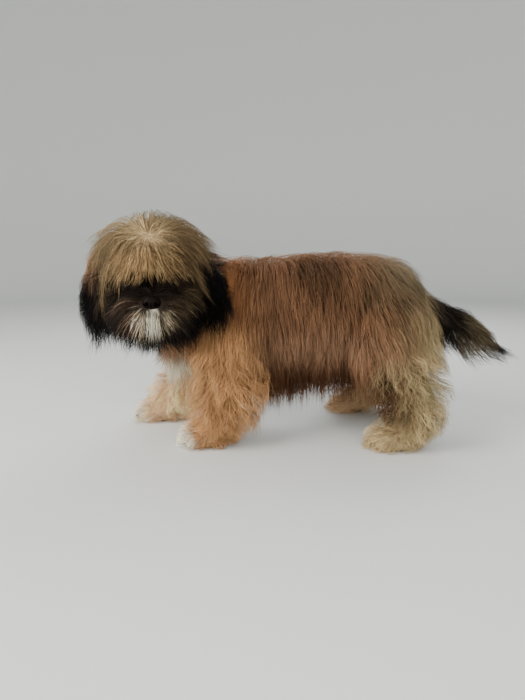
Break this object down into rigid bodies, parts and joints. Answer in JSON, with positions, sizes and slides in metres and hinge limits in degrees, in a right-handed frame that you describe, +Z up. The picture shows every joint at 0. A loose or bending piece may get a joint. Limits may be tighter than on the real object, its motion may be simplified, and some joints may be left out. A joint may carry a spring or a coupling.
{
  "type": "shih tzu puppy model",
  "caption": "Life-size model of a long-coated shih tzu puppy standing with its head turned to its left, tail low.",
  "frame": {"origin": "middle of the whole object's footprint box, on the floor under the paws", "axes": "-Y is the way the body faces, +X the dog's left, which the head looks to, and +Z up"},
  "size_m": [0.2538, 0.5102, 0.2661],
  "materials": {
    "crown_coat": "soft golden tan hair",
    "dark_coat": "soft black-brown hair",
    "body_coat": "soft reddish golden hair with sable streaks",
    "tail_coat": "soft grey-brown hair with black tips",
    "leg_coat": "fluffy apricot hair",
    "paw_coat": "short cream hair",
    "nose_leather": "moist and pebbled",
    "eye": "wet gloss"
  },
  "bodies": {
    "root": {"head": "crown_coat", "jaw": "dark_coat", "nose": "nose_leather", "eye_left": "eye", "eye_right": "eye", "ear_left": "dark_coat", "ear_right": "dark_coat", "neck": "body_coat", "chest": "body_coat", "loin": "body_coat", "rump": "body_coat", "tail": "tail_coat", "foreleg_left": "leg_coat", "foreleg_right": "leg_coat", "hindleg_left": "leg_coat", "hindleg_right": "leg_coat", "forepaw_left": "paw_coat", "forepaw_right": "paw_coat", "hindpaw_left": "paw_coat", "hindpaw_right": "paw_coat"}
  },
  "joints": []
}
